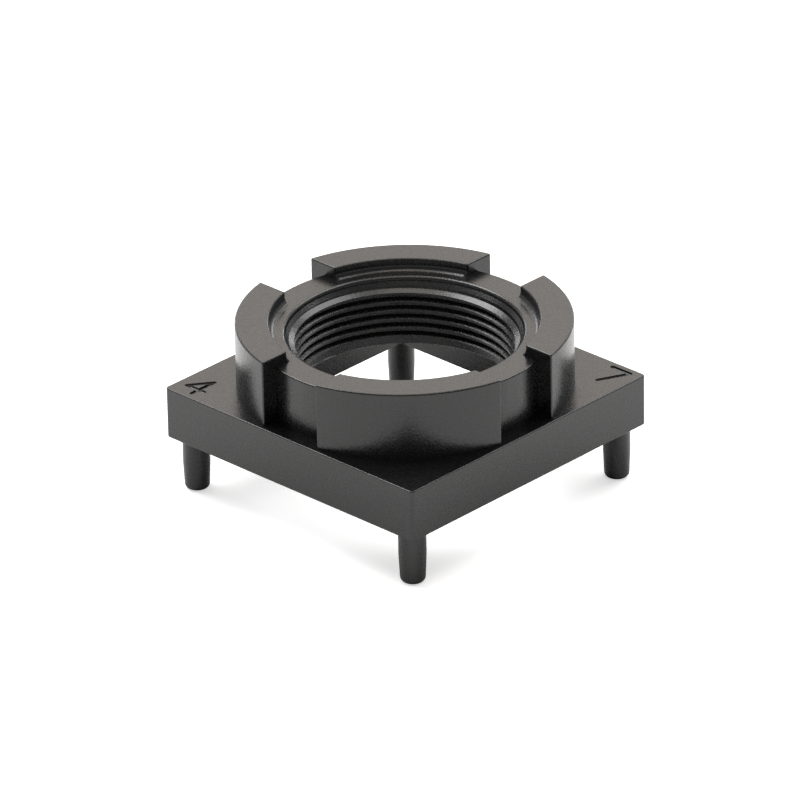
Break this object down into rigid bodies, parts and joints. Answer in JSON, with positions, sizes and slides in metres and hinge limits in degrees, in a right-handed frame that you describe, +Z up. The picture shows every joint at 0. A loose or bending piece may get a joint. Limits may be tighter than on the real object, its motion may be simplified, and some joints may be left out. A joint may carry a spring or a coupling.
{
  "type": "optical lens mount",
  "caption": "Square plastic mount that screws a small board-camera lens over an image sensor: threaded collar with ribs, hollow plate, and locating pegs underneath.",
  "frame": {"origin": "on the lens thread's axis, level with the tips of the four pegs that the part stands on", "axes": "+Z up along the lens thread, out through the ribbed collar; +X and +Y are square to the plate's sides, and the wrench slots open along them"},
  "size_m": [0.0176, 0.0176, 0.0095],
  "materials": {
    "black_plastic": "fine matt mould texture, satin at a grazing angle"
  },
  "bodies": {
    "root": {"lens_mount": "black_plastic"}
  },
  "joints": []
}
